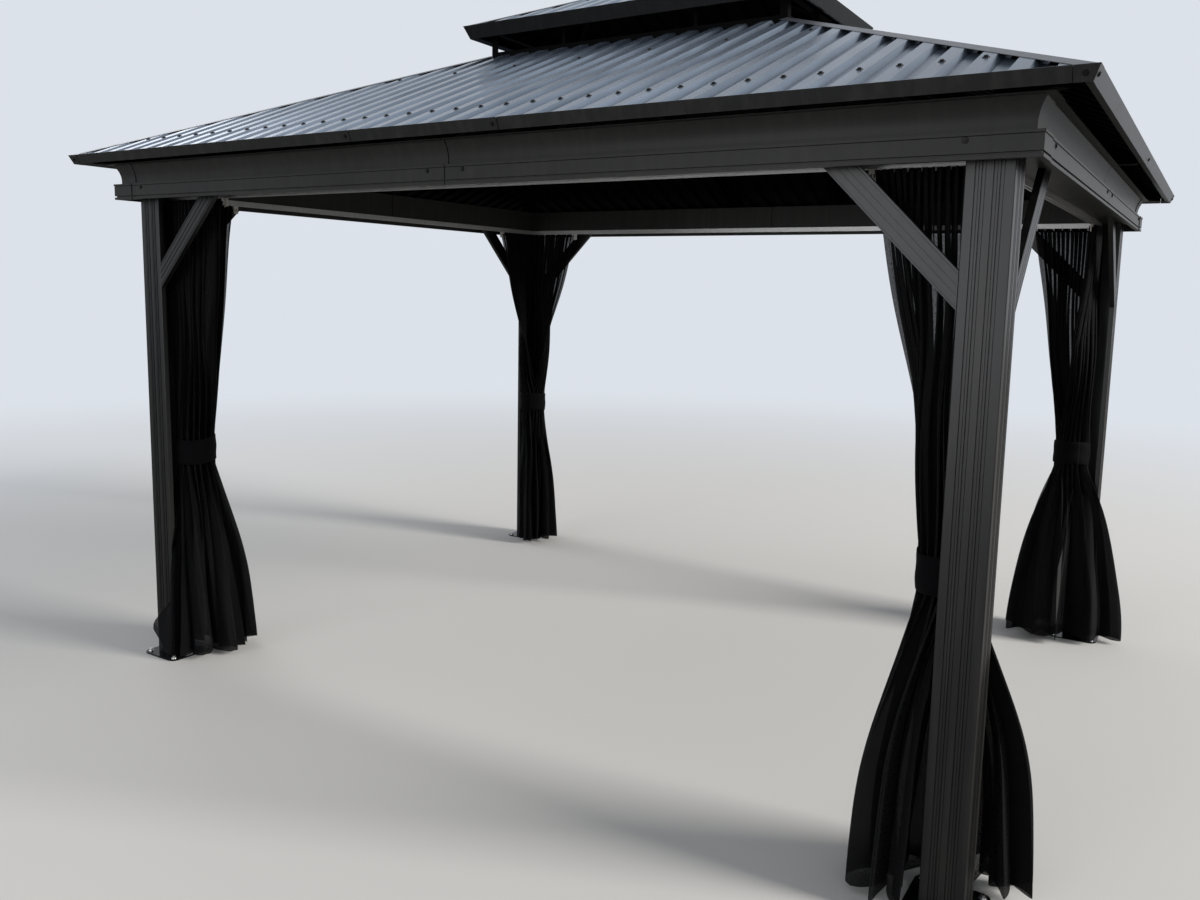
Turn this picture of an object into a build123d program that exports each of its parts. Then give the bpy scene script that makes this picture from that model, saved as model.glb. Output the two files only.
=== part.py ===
from build123d import *
import math
import os

# A hard-top garden gazebo on four fluted posts, with a raised second roof over a vent.
# Millimetres, +Z up. The origin is on the ground in the middle of the four posts.
# The long side runs along X. The front is the side that faces -Y.

# Plan of the posts, centre to centre
POST_GRID_LENGTH = 3380.0
POST_GRID_WIDTH = 2610.0

# Fluted angle post, open towards the inside, standing on a square foot plate
POST_WIDTH = 120.0
POST_WALL = 20.0
POST_CORNER_RADIUS = 3.0
FLUTE_WIDTH = 4.4
FLUTE_DEPTH = 4.0
FINE_FLUTE_WIDTH = 2.2
FINE_FLUTE_DEPTH = 2.4
FLUTE_STEP = 8.0
FLUTES_IN_GROUP = 4
FLUTE_GROUP_OFFSET = 22.0
FOOT_PLATE_THICKNESS = 6.0
FOOT_PLATE_CORNER_RADIUS = 30.0
ANCHOR_SQUARE_WIDTH = 164.0
ANCHOR_EDGE_WIDTH = 23.0
ANCHOR_HOLE_DIAMETER = 12.0

# Cornice beam. Heights are measured up from the beam's underside, depths out from the post's centre.
# Its skirt hangs in front of the post tops, which meet the higher web behind it.
BEAM_UNDERSIDE = 1983.0
BEAM_HEIGHT = 141.0
BEAM_WEB_RISE = 27.0
BEAM_INNER_FACE = 50.0
BEAM_SKIRT_THICKNESS = 17.0
CORNICE_FACE = 127.0
CORNICE_LIP_DROP = 3.0
CORNICE_LIP_HEIGHT = 9.0
CORNICE_GROOVE_DEPTH = 6.0
CORNICE_GROOVE_HEIGHT = 6.0
CORNICE_BAND_TOP = 51.0
CORNICE_BEAD_HEIGHT = 7.0
CORNICE_BEAD_PROUD = 2.0
CORNICE_EDGE_CHAMFER = 2.0
CORNICE_GROOVE_CHAMFER = 1.0
CORNICE_BEAD_SLOPE = 3.0
CORNICE_RECESS = 106.0
CORNICE_COVE_START = 73.0
CORNICE_COVE_TOP = 135.0
CORNICE_COVE_RADIUS = 106.0
CORNICE_FLANGE = 148.0
CORNICE_FLANGE_THICKNESS = 3.0
CORNER_SLEEVE_LENGTH = 114.0
CORNER_SLEEVE_PROUD = 3.0
BEAM_SPLICE_GAP = 4.0

# Knee brace, a grooved bar at 45 degrees between post and beam
BRACE_LEG = 314.0
BRACE_FACE_WIDTH = 70.0
BRACE_GROOVE_WIDTH = 3.0
BRACE_GROOVE_DEPTH = 2.0
BRACE_GROOVE_OFFSETS = (6.0, 26.5)

# Curtain rail under the beam's web, just inside the posts
RAIL_INSET = 33.0
RAIL_DEPTH = 20.0
RAIL_HEIGHT = 22.0
RAIL_SLOT_WIDTH = 8.0
RAIL_SLOT_HEIGHT = 12.0

# Lower roof: corrugated sheets between a leaning eave rail and a vent ring
ROOF_PITCH_DEG = 23.1
EAVE_OVERHANG = 240.0
EAVE_ABOVE_BEAM = 12.0
SHEET_THICKNESS = 1.0
RIB_STEP = 104.0
RIB_HEIGHT = 16.0
RIB_CREST = 42.0
RIB_FLANK = 11.0
EAVE_RAIL_DROP = 18.0
EAVE_RAIL_ABOVE = 3.0
EAVE_RAIL_THICKNESS = 2.0
EAVE_RAIL_LEDGE = 30.0
EAVE_RAIL_RETURN = 22.0
EAVE_JOINT_OFFSET = 310.0
EAVE_JOINT_GAP = 3.0
EAVE_CAP_LEG = 45.0
HIP_CAP_HALF_WIDTH = 32.0
HIP_CAP_THICKNESS = 1.5
HIP_GAP = 3.0

# Roof frame
RAFTER_WIDTH = 40.0
RAFTER_DEPTH = 50.0
RAFTER_OFFSET_X = 317.0
RING_HALF_X = 706.0
RING_WIDTH = 40.0
RING_ABOVE_SHEET = 14.0
RING_HEIGHT = 100.0

# Raised upper roof
STRUT_CORNER_WIDTH = 32.0
STRUT_CORNER_THICKNESS = 4.0
STRUT_WIDTH = 16.0
STRUT_DEPTH = 26.0
VENT_HEIGHT = 80.0
UPPER_FRAME_WIDTH = 30.0
UPPER_OVERHANG = 82.0
UPPER_EAVE_ABOVE_FRAME = 7.0
UPPER_EAVE_RAIL_DROP = 38.0
UPPER_RAFTER_WIDTH = 26.0
UPPER_RAFTER_DEPTH = 32.0
RIDGE_WIDTH = 30.0
RIDGE_DEPTH = 40.0

# Mosquito-net curtains, gathered in the open corner of each post and tied at the waist.
# Their outlines are measured from the post's centre along the two beams. The back left one
# hangs almost straight below its tie, and the others fan out to the full hem.
CURTAIN_TOP_REACH = 335.0
CURTAIN_TOP_THICKNESS = 54.0
CURTAIN_WAIST_CENTRE = 70.0
CURTAIN_WAIST_RADIUS = 82.0
CURTAIN_WAIST_BOTTOM = 850.0
CURTAIN_WAIST_TOP = 990.0
CURTAIN_KNEE_HEIGHT = 500.0
CURTAIN_KNEE_SHARE = 0.75
CURTAIN_HEM_HEIGHT = 25.0
CURTAIN_HEM_REACH = 370.0
CURTAIN_HEM_OUTWARD = 170.0
CURTAIN_HEM_DEPTH = 90.0
CURTAIN_HEM_SHARES = {
    "front_right": 1.0,
    "front_left": 1.0,
    "back_right": 1.0,
    "back_left": 0.4,
}
TIE_HEIGHT = 110.0
TIE_THICKNESS = 2.5

# Clearance between pieces that lie against each other
SEAT = 0.3

# Sizes worked out from the driving ones
HALF_X = POST_GRID_LENGTH / 2
HALF_Y = POST_GRID_WIDTH / 2
HALF_POST = POST_WIDTH / 2
FOOT_PLATE_WIDTH = ANCHOR_SQUARE_WIDTH + 2 * ANCHOR_EDGE_WIDTH
PITCH = math.radians(ROOF_PITCH_DEG)
RISE = math.tan(PITCH)
ROOT2 = math.sqrt(2)
BEAM_TOP = BEAM_UNDERSIDE + BEAM_HEIGHT
BEAM_WEB = BEAM_UNDERSIDE + BEAM_WEB_RISE
RAIL_BOTTOM = BEAM_WEB - RAIL_HEIGHT
RING_HALF_Y = RING_HALF_X - (HALF_X - HALF_Y)
CREST = RIB_HEIGHT + SHEET_THICKNESS
EAVE_HEIGHT = BEAM_TOP + EAVE_ABOVE_BEAM
RING_TOP = (EAVE_HEIGHT + (EAVE_OVERHANG + HALF_X - RING_HALF_X) * RISE
            + CREST / math.cos(PITCH) + RING_ABOVE_SHEET)
UPPER_FRAME_BOTTOM = RING_TOP + VENT_HEIGHT
UPPER_EAVE_HEIGHT = UPPER_FRAME_BOTTOM + UPPER_EAVE_ABOVE_FRAME
SIDES = {
    "front": (HALF_X, HALF_Y, 0.0),
    "right": (HALF_Y, HALF_X, 90.0),
    "back": (HALF_X, HALF_Y, 180.0),
    "left": (HALF_Y, HALF_X, 270.0),
}
CORNERS = {
    "front_right": (1, -1),
    "front_left": (-1, -1),
    "back_right": (1, 1),
    "back_left": (-1, 1),
}


def block(x0, x1, y0, y1, z0, z1):
    """A box between two corners."""
    size = Box(x1 - x0, y1 - y0, z1 - z0, align=(Align.MIN, Align.MIN, Align.MIN))
    return Pos(x0, y0, z0) * size


def to_side(shape, side):
    """Turns a piece that was made for the front round to its own side."""
    return Rot(0, 0, SIDES[side][2]) * shape


def to_corner(shape, corner):
    """Mirrors a piece that was made for the front right corner to its own corner."""
    sx, sy = CORNERS[corner]
    if sx < 0:
        shape = mirror(shape, about=Plane.YZ)
    if sy > 0:
        shape = mirror(shape, about=Plane.XZ)
    return shape


def hip_plane(half_length, half_depth, back_off=0.0):
    """The upright plane over the right hand hip, square to the plan's diagonal."""
    shift = (half_length - half_depth) / 2 - back_off / ROOT2
    return Plane(origin=(shift, shift, 0), x_dir=(0, 0, 1), z_dir=(1, 1, 0))


def keep_between_hips(shape, half_length, half_depth, gap):
    """Cuts a front piece to the trapezium between its two hips."""
    right = hip_plane(half_length, half_depth, gap)
    left = Plane(origin=(-right.origin.X, right.origin.Y, 0), x_dir=(0, 0, 1), z_dir=(-1, 1, 0))
    shape = split(shape, bisect_by=right, keep=Keep.BOTTOM)
    return split(shape, bisect_by=left, keep=Keep.BOTTOM)


def save(name, solids):
    """Writes one named piece, or several like ones that don't touch."""
    solids = solids if isinstance(solids, list) else [solids]
    flat = []
    for solid in solids:
        flat.extend(solid.solids())
    shape = flat[0] if len(flat) == 1 else Compound(children=flat)
    export_step(shape, os.path.join("parts", name + ".step"))


def post():
    """An angle post with two groups of broad and fine flutes on each outer face."""
    outline = RectangleRounded(POST_WIDTH, POST_WIDTH, POST_CORNER_RADIUS)
    outline = outline - Pos(-POST_WALL, POST_WALL) * Rectangle(POST_WIDTH, POST_WIDTH)
    broad = Rectangle(FLUTE_WIDTH, 2 * FLUTE_DEPTH)
    fine = Rectangle(FINE_FLUTE_WIDTH, 2 * FINE_FLUTE_DEPTH)
    first = -(FLUTES_IN_GROUP - 1) / 2 * FLUTE_STEP
    flutes = []
    for turn, hand in ((0, 1), (90, -1)):
        for group in (-FLUTE_GROUP_OFFSET, FLUTE_GROUP_OFFSET):
            for i in range(FLUTES_IN_GROUP):
                across = group + first + i * FLUTE_STEP
                flute = Pos(across * hand, -HALF_POST) * (fine if i % 2 else broad)
                flutes.append(Rot(0, 0, turn) * flute)
    outline = outline - flutes
    height = BEAM_WEB - FOOT_PLATE_THICKNESS
    return Pos(HALF_X, -HALF_Y, FOOT_PLATE_THICKNESS) * extrude(outline, height)


def foot_plate():
    """The square plate under a post, with an anchor hole near each corner."""
    outline = RectangleRounded(FOOT_PLATE_WIDTH, FOOT_PLATE_WIDTH, FOOT_PLATE_CORNER_RADIUS)
    holes = GridLocations(ANCHOR_SQUARE_WIDTH, ANCHOR_SQUARE_WIDTH, 2, 2) * Circle(ANCHOR_HOLE_DIAMETER / 2)
    return Pos(HALF_X, -HALF_Y) * extrude(outline - holes, FOOT_PLATE_THICKNESS)


def cornice_face(half_depth, proud=0.0):
    """The beam's section on the YZ plane of a front beam: web behind, moulded skirt in front."""
    face = CORNICE_FACE + proud
    base = BEAM_UNDERSIDE
    lip_top = base - CORNICE_LIP_DROP + CORNICE_LIP_HEIGHT
    groove_top = lip_top + CORNICE_GROOVE_HEIGHT
    band_top = base + CORNICE_BAND_TOP
    bead_low = band_top + CORNICE_EDGE_CHAMFER
    bead_top = bead_low + CORNICE_BEAD_HEIGHT
    recess = CORNICE_RECESS + proud
    cove_low = base + CORNICE_COVE_START
    cove_high = base + CORNICE_COVE_TOP
    rise = cove_high - cove_low
    flare = CORNICE_COVE_RADIUS - math.sqrt(CORNICE_COVE_RADIUS ** 2 - rise ** 2)
    half_flare = CORNICE_COVE_RADIUS - math.sqrt(CORNICE_COVE_RADIUS ** 2 - (0.6 * rise) ** 2)

    def at(depth, height):
        return (-(half_depth + depth), height)

    outer = Polyline(
        at(recess, cove_low),
        at(recess, bead_top + CORNICE_BEAD_SLOPE),
        at(face + CORNICE_BEAD_PROUD, bead_top),
        at(face + CORNICE_BEAD_PROUD, bead_low),
        at(face - CORNICE_EDGE_CHAMFER, band_top + CORNICE_GROOVE_CHAMFER),
        at(face, band_top),
        at(face, groove_top),
        at(face - CORNICE_GROOVE_DEPTH, groove_top - CORNICE_GROOVE_CHAMFER),
        at(face - CORNICE_GROOVE_DEPTH, lip_top + CORNICE_GROOVE_CHAMFER),
        at(face, lip_top),
        at(face, base - CORNICE_LIP_DROP),
        at(face - BEAM_SKIRT_THICKNESS, base - CORNICE_LIP_DROP),
        at(face - BEAM_SKIRT_THICKNESS, BEAM_WEB),
        at(-BEAM_INNER_FACE, BEAM_WEB),
        at(-BEAM_INNER_FACE, BEAM_TOP),
        at(CORNICE_FLANGE + proud, BEAM_TOP),
        at(CORNICE_FLANGE + proud, BEAM_TOP - CORNICE_FLANGE_THICKNESS),
        at(recess + flare, BEAM_TOP - CORNICE_FLANGE_THICKNESS),
        at(recess + flare, cove_high),
    )
    cove = ThreePointArc(
        at(recess + flare, cove_high),
        at(recess + half_flare, cove_low + 0.6 * rise),
        at(recess, cove_low),
    )
    return Plane.YZ * make_face(outer + cove)


def beam(side):
    """Two spliced lengths of cornice beam, stopping at the corner sleeves."""
    half_length, half_depth, _ = SIDES[side]
    section = cornice_face(half_depth)
    stop = half_length + CORNICE_FACE - CORNER_SLEEVE_LENGTH
    length = stop - BEAM_SPLICE_GAP / 2
    right = Pos(BEAM_SPLICE_GAP / 2, 0, 0) * extrude(section, length, dir=(1, 0, 0))
    right = split(right, bisect_by=hip_plane(half_length, half_depth, SEAT), keep=Keep.BOTTOM)
    left = mirror(right, about=Plane.YZ)
    return [to_side(right, side), to_side(left, side)]


def beam_corner():
    """The mitred cornice sleeve over a post, a little proud of the beams."""
    section = cornice_face(HALF_Y, CORNER_SLEEVE_PROUD)
    start = HALF_X + CORNICE_FACE - CORNER_SLEEVE_LENGTH + SEAT
    leg = Pos(start, 0, 0) * extrude(section, 2 * CORNER_SLEEVE_LENGTH, dir=(1, 0, 0))
    mitre = hip_plane(HALF_X, HALF_Y)
    leg = split(leg, bisect_by=mitre, keep=Keep.BOTTOM)
    return leg + mirror(leg, about=mitre)


def brace():
    """A knee brace on the left of the front right post, as thick as its wall, grooved outside."""
    section = Rectangle(BRACE_FACE_WIDTH, POST_WALL)
    for offset in BRACE_GROOVE_OFFSETS:
        for across in (offset - BRACE_FACE_WIDTH / 2, BRACE_FACE_WIDTH / 2 - offset):
            groove = Rectangle(BRACE_GROOVE_WIDTH, 2 * BRACE_GROOVE_DEPTH)
            section = section - Pos(across, POST_WALL / 2) * groove
    mid = (
        HALF_X - HALF_POST - BRACE_LEG / 2,
        (POST_WALL - POST_WIDTH) / 2 - HALF_Y,
        BEAM_UNDERSIDE - BRACE_LEG / 2,
    )
    along = Plane(origin=mid, x_dir=(1, 0, 1), z_dir=(1, 0, -1))
    bar = extrude(along * section, BRACE_LEG, both=True)
    under_web = Plane(origin=(0, 0, BEAM_WEB), z_dir=(0, 0, 1))
    post_face = Plane(origin=(HALF_X - HALF_POST, 0, 0), z_dir=(1, 0, 0))
    bar = split(bar, bisect_by=under_web, keep=Keep.BOTTOM)
    return split(bar, bisect_by=post_face, keep=Keep.BOTTOM)


def brace_pair():
    """The two braces of the front right post, one along each beam."""
    first = brace()
    return [first, mirror(first, about=hip_plane(HALF_X, HALF_Y))]


def rail(side):
    """A slotted curtain rail under the web of one beam."""
    half_length, half_depth, _ = SIDES[side]
    middle = RAIL_INSET - half_depth
    half = half_length - RAIL_INSET
    if side in ("left", "right"):
        half = half - RAIL_DEPTH / 2 - SEAT
    else:
        half = half + RAIL_DEPTH / 2
    near = middle - RAIL_DEPTH / 2
    far = middle + RAIL_DEPTH / 2
    bar = block(-half, half, near, far, RAIL_BOTTOM, BEAM_WEB)
    slot_near = middle - RAIL_SLOT_WIDTH / 2
    slot_far = middle + RAIL_SLOT_WIDTH / 2
    slot = block(-half, half, slot_near, slot_far, RAIL_BOTTOM, RAIL_BOTTOM + RAIL_SLOT_HEIGHT)
    return to_side(bar - slot, side)


def eave_plane(half_depth, overhang, height):
    """Section plane at a front eave: local X runs to -X, local Y is square to the roof."""
    up_slope = (0, math.cos(PITCH), math.sin(PITCH))
    return Plane(origin=(0, -(half_depth + overhang), height), x_dir=(-1, 0, 0), z_dir=up_slope)


def sheet(half_length, half_depth, overhang, height, stop_y):
    """One corrugated roof slope between its hips, from the eave up to stop_y."""
    reach = half_length + overhang
    ribs = math.ceil(reach / RIB_STEP)
    line = []
    for k in range(-ribs, ribs + 1):
        middle = k * RIB_STEP
        line.append((middle - RIB_CREST / 2 - RIB_FLANK, 0))
        line.append((middle - RIB_CREST / 2, RIB_HEIGHT))
        line.append((middle + RIB_CREST / 2, RIB_HEIGHT))
        line.append((middle + RIB_CREST / 2 + RIB_FLANK, 0))
    above = [(x, h + SHEET_THICKNESS) for x, h in reversed(line)]
    section = make_face(Polyline(line + above, close=True))
    run = half_depth + overhang - stop_y - SEAT
    panel = extrude(eave_plane(half_depth, overhang, height) * section, run / math.cos(PITCH))
    return keep_between_hips(panel, half_length, half_depth, HIP_GAP)


def eave_section(half_depth, overhang, height, drop, proud=0.0):
    """The eave rail's section: a leaning face, a ledge under the sheet and a return below."""
    t = EAVE_RAIL_THICKNESS
    out = t + proud

    def at(along, square):
        down = half_depth + overhang - along * math.cos(PITCH) + square * math.sin(PITCH)
        return (-down, height + along * math.sin(PITCH) + square * math.cos(PITCH))

    points = [
        at(-out, CREST + EAVE_RAIL_ABOVE),
        at(-SEAT, CREST + EAVE_RAIL_ABOVE),
        at(-SEAT, -SEAT),
        at(EAVE_RAIL_LEDGE, -SEAT),
        at(EAVE_RAIL_LEDGE, -SEAT - t),
        at(-SEAT, -SEAT - t),
        at(-SEAT, t - drop),
        at(EAVE_RAIL_RETURN, t - drop),
        at(EAVE_RAIL_RETURN, -drop),
        at(-out, -drop),
    ]
    return Plane.YZ * make_face(Polyline(points, close=True))


def eave_lengths(side):
    """The lengths of eave rail along one side, with a small gap at each joint."""
    half_length, half_depth, _ = SIDES[side]
    section = eave_section(half_depth, EAVE_OVERHANG, EAVE_HEIGHT, EAVE_RAIL_DROP)
    end = half_length + EAVE_OVERHANG - EAVE_CAP_LEG
    joints = [0.0] if side in ("left", "right") else [-EAVE_JOINT_OFFSET, EAVE_JOINT_OFFSET]
    stops = [-end] + joints + [end]
    lengths = []
    for start, stop in zip(stops, stops[1:]):
        low = start + EAVE_JOINT_GAP / 2
        high = stop - EAVE_JOINT_GAP / 2
        piece = Pos(low, 0, 0) * extrude(section, high - low, dir=(1, 0, 0))
        lengths.append(to_side(piece, side))
    return lengths


def eave_cap():
    """The folded cap over the eave rails' front right corner."""
    section = eave_section(HALF_Y, EAVE_OVERHANG, EAVE_HEIGHT, EAVE_RAIL_DROP, SHEET_THICKNESS)
    start = HALF_X + EAVE_OVERHANG - EAVE_CAP_LEG
    leg = Pos(start, 0, 0) * extrude(section, 2 * EAVE_CAP_LEG, dir=(1, 0, 0))
    mitre = hip_plane(HALF_X, HALF_Y)
    leg = split(leg, bisect_by=mitre, keep=Keep.BOTTOM)
    return leg + mirror(leg, about=mitre)


def hip_cap(overhang, height, inner):
    """A folded strip over the front right hip, from the eave corner up to a diagonal stop."""
    top = height + CREST / math.cos(PITCH)
    fall = RISE / ROOT2 * HIP_CAP_HALF_WIDTH
    low = SEAT
    high = SEAT + HIP_CAP_THICKNESS
    w = HIP_CAP_HALF_WIDTH
    section = make_face(Polyline(
        (-w, low - fall), (0, low), (w, low - fall),
        (w, high - fall), (0, high), (-w, high - fall), close=True,
    ))
    run = overhang + inner
    finish = Vector(HALF_X - inner, inner - HALF_Y, top + run * RISE)
    start = finish + Vector(run + w, -run - w, -(run + w) * RISE)
    across = Plane(origin=start, x_dir=(-1, -1, 0), z_dir=(-1, 1, 0))
    cap = extrude(across * section, (finish - start).length, dir=finish - start)
    edge = overhang + CREST * math.sin(PITCH) - SEAT
    front = Plane(origin=(0, -HALF_Y - edge, 0), z_dir=(0, 1, 0))
    end = Plane(origin=(HALF_X + edge, 0, 0), z_dir=(1, 0, 0))
    cap = split(cap, bisect_by=front, keep=Keep.TOP)
    return split(cap, bisect_by=end, keep=Keep.BOTTOM)


def hip_bar(start_run, end_run, overhang, height, width, depth, heel_z=0.0):
    """A bar under the front right hip between two distances in from the post's centre."""
    edge_drop = RISE / ROOT2 * width / 2 + SEAT
    deep = depth / math.cos(math.atan(RISE / ROOT2))

    def top(run):
        return height + (overhang + run) * RISE - edge_drop

    points = [
        (-start_run * ROOT2, top(start_run)),
        (-end_run * ROOT2, top(end_run)),
        (-end_run * ROOT2, top(end_run) - deep),
    ]
    if heel_z:
        points += [(0, top(0) - deep), (0, heel_z), (-start_run * ROOT2, heel_z)]
    else:
        points.append((-start_run * ROOT2, top(start_run) - deep))
    bar = extrude(Plane.XZ * make_face(Polyline(points, close=True)), width / 2, both=True)
    return Pos(HALF_X, -HALF_Y, 0) * Rot(0, 0, -45) * bar


def hip_rafter():
    """The hip rafter from the eave rail over the corner sleeve up to the vent ring."""
    tail = -(EAVE_OVERHANG - EAVE_RAIL_LEDGE - 2 * EAVE_RAIL_RETURN)
    run = HALF_X - RING_HALF_X
    bar = hip_bar(tail, run + RING_WIDTH, EAVE_OVERHANG, EAVE_HEIGHT, RAFTER_WIDTH, RAFTER_DEPTH,
                  BEAM_TOP)
    ring = block(-RING_HALF_X, RING_HALF_X, -RING_HALF_Y, RING_HALF_Y, EAVE_HEIGHT, RING_TOP)
    return bar - ring


def rafter(side, along):
    """A common rafter on one side, from the eave rail's ledge up to the vent ring."""
    half_length, half_depth, _ = SIDES[side]
    inner = half_depth - (RING_HALF_Y if side in ("front", "back") else RING_HALF_X)
    deep = RAFTER_DEPTH / math.cos(PITCH)
    tail = EAVE_OVERHANG - (EAVE_RAIL_LEDGE + SEAT) / math.cos(PITCH)

    def at(out, drop=0.0):
        return (-(half_depth + out), EAVE_HEIGHT + (EAVE_OVERHANG - out) * RISE - SEAT - drop)

    points = [
        at(tail),
        at(SEAT - inner),
        at(SEAT - inner, deep),
        at(0, deep),
        (-half_depth, BEAM_TOP),
        (-half_depth - tail, BEAM_TOP),
    ]
    bar = extrude(Plane.YZ * make_face(Polyline(points, close=True)), RAFTER_WIDTH / 2, both=True)
    return to_side(Pos(along, 0, 0) * bar, side)


def ring(half_x, half_y, width, bottom, top):
    """Four members round an opening, two long ones and two between them."""
    long_side = block(-half_x, half_x, -half_y, width - half_y, bottom, top)
    short_y = half_y - width - SEAT
    short_side = block(half_x - width, half_x, -short_y, short_y, bottom, top)
    return [
        long_side,
        mirror(long_side, about=Plane.XZ),
        short_side,
        mirror(short_side, about=Plane.YZ),
    ]


def struts():
    """Angles at the vent ring's corners and flat bars between them."""
    low = RING_TOP
    high = UPPER_FRAME_BOTTOM
    w = STRUT_CORNER_WIDTH
    t = STRUT_CORNER_THICKNESS
    x = RING_HALF_X
    y = -RING_HALF_Y
    angle = block(x - w, x, y, y + t, low, high) + block(x - t, x, y, y + w, low, high)
    posts = [to_corner(angle, corner) for corner in CORNERS]
    bar = block(-STRUT_WIDTH / 2, STRUT_WIDTH / 2, y, y + STRUT_DEPTH, low, high)
    for along in (-RAFTER_OFFSET_X, RAFTER_OFFSET_X):
        posts.append(Pos(along, 0, 0) * bar)
        posts.append(mirror(Pos(along, 0, 0) * bar, about=Plane.XZ))
    end_bar = block(x - STRUT_DEPTH, x, -STRUT_WIDTH / 2, STRUT_WIDTH / 2, low, high)
    posts.append(end_bar)
    posts.append(mirror(end_bar, about=Plane.YZ))
    return posts


# The upper roof is worked out from the vent ring, as the lower one is from the posts
UPPER_FRAME_TOP = UPPER_EAVE_HEIGHT + UPPER_OVERHANG * RISE - SEAT
UPPER_SIDES = {
    "front": (RING_HALF_X, RING_HALF_Y),
    "right": (RING_HALF_Y, RING_HALF_X),
    "back": (RING_HALF_X, RING_HALF_Y),
    "left": (RING_HALF_Y, RING_HALF_X),
}
RIDGE_HALF = RING_HALF_X - RING_HALF_Y
RIDGE_UNDERSIDE = UPPER_EAVE_HEIGHT + (RING_HALF_Y + UPPER_OVERHANG) * RISE


def upper_sheet(side):
    """One corrugated slope of the raised roof, up to the ridge or to a point."""
    half_length, half_depth = UPPER_SIDES[side]
    stop = HIP_GAP if side in ("front", "back") else RIDGE_HALF
    panel = sheet(half_length, half_depth, UPPER_OVERHANG, UPPER_EAVE_HEIGHT, stop)
    return to_side(panel, side)


def upper_eave(side):
    """One length of the raised roof's eave rail, mitred at both ends."""
    half_length, half_depth = UPPER_SIDES[side]
    section = eave_section(half_depth, UPPER_OVERHANG, UPPER_EAVE_HEIGHT, UPPER_EAVE_RAIL_DROP)
    reach = half_length + 2 * UPPER_OVERHANG
    bar = extrude(section, reach, dir=(1, 0, 0), both=True)
    return to_side(keep_between_hips(bar, half_length, half_depth, SEAT), side)


def upper_caps():
    """Folded strips over the raised roof's four hips and its ridge."""
    shift = Pos(RING_HALF_X - HALF_X, HALF_Y - RING_HALF_Y, 0)
    hip = shift * hip_cap(UPPER_OVERHANG, UPPER_EAVE_HEIGHT, RING_HALF_Y)
    stop = Plane(origin=(RIDGE_HALF + HIP_CAP_HALF_WIDTH, 0, 0), z_dir=(1, 0, 0))
    hip = split(hip, bisect_by=stop, keep=Keep.TOP)
    w = HIP_CAP_HALF_WIDTH
    base = UPPER_EAVE_HEIGHT + (RING_HALF_Y + UPPER_OVERHANG) * RISE + CREST / math.cos(PITCH)
    low = base + SEAT
    high = low + HIP_CAP_THICKNESS
    fall = w * RISE
    section = make_face(Polyline(
        (-w, low - fall), (0, low), (w, low - fall),
        (w, high - fall), (0, high), (-w, high - fall), close=True,
    ))
    half = RIDGE_HALF + HIP_CAP_HALF_WIDTH - SEAT
    ridge = extrude(Plane.YZ * section, half, both=True)
    return [to_corner(hip, corner) for corner in CORNERS] + [ridge]


def upper_rafters():
    """The ridge bar and the four hip bars under the raised roof."""
    top = RIDGE_UNDERSIDE - RIDGE_WIDTH / 2 * RISE - SEAT
    ridge = block(-RIDGE_HALF, RIDGE_HALF, -RIDGE_WIDTH / 2, RIDGE_WIDTH / 2, top - RIDGE_DEPTH, top)
    shift = Pos(RING_HALF_X - HALF_X, HALF_Y - RING_HALF_Y, 0)
    bar = shift * hip_bar(0.0, RING_HALF_Y, UPPER_OVERHANG, UPPER_EAVE_HEIGHT,
                          UPPER_RAFTER_WIDTH, UPPER_RAFTER_DEPTH)
    long_member, _, short_member, _ = upper_frame()
    corner_fill = block(
        RING_HALF_X - UPPER_FRAME_WIDTH, RING_HALF_X + UPPER_FRAME_WIDTH,
        -RING_HALF_Y - UPPER_FRAME_WIDTH, UPPER_FRAME_WIDTH - RING_HALF_Y,
        UPPER_FRAME_BOTTOM - RIDGE_DEPTH, UPPER_FRAME_TOP,
    )
    room = block(
        -RIDGE_HALF - SEAT, RIDGE_HALF + SEAT, -RING_HALF_Y, RING_HALF_Y,
        UPPER_FRAME_BOTTOM, RIDGE_UNDERSIDE + CREST,
    )
    bar = bar - corner_fill - long_member - short_member - room
    bar = split(bar, bisect_by=Plane(origin=(0, -SEAT, 0), z_dir=(0, 1, 0)), keep=Keep.BOTTOM)
    return [ridge] + [to_corner(bar, corner) for corner in CORNERS]


def upper_frame():
    """The frame that the raised roof's sheets rest on."""
    return ring(RING_HALF_X, RING_HALF_Y, UPPER_FRAME_WIDTH, UPPER_FRAME_BOTTOM, UPPER_FRAME_TOP)


def waist_outline(radius):
    """The eight corners of the tied curtain, from the one nearest the front beam round."""
    points = []
    for k in range(8):
        turn = math.radians(247.5 + 45 * k)
        points.append((CURTAIN_WAIST_CENTRE + radius * math.cos(turn),
                       CURTAIN_WAIST_CENTRE + radius * math.sin(turn)))
    return points


def mirrored_outline(half):
    """Four points and their mirror images across the diagonal between the beams."""
    return half + [(y, x) for x, y in reversed(half)]


def top_outline():
    """Two strips of folds under the rails, meeting at the post."""
    near = RAIL_INSET - CURTAIN_TOP_THICKNESS / 2
    far = RAIL_INSET + CURTAIN_TOP_THICKNESS / 2
    step = CURTAIN_TOP_THICKNESS / 3
    reach = CURTAIN_TOP_REACH
    return mirrored_outline([(near + step, near), (reach, near), (reach, far), (far + step, far)])


def hem_outline():
    """The spread hem, which swings out past the free end of each post wall."""
    waist = waist_outline(CURTAIN_WAIST_RADIUS)
    return mirrored_outline([
        (HALF_POST + POST_WALL, waist[0][1]),
        (CURTAIN_WAIST_CENTRE + HALF_POST, -CURTAIN_HEM_OUTWARD),
        (CURTAIN_HEM_REACH, -CURTAIN_HEM_DEPTH),
        (CURTAIN_HEM_REACH, CURTAIN_HEM_DEPTH),
    ])


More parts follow.
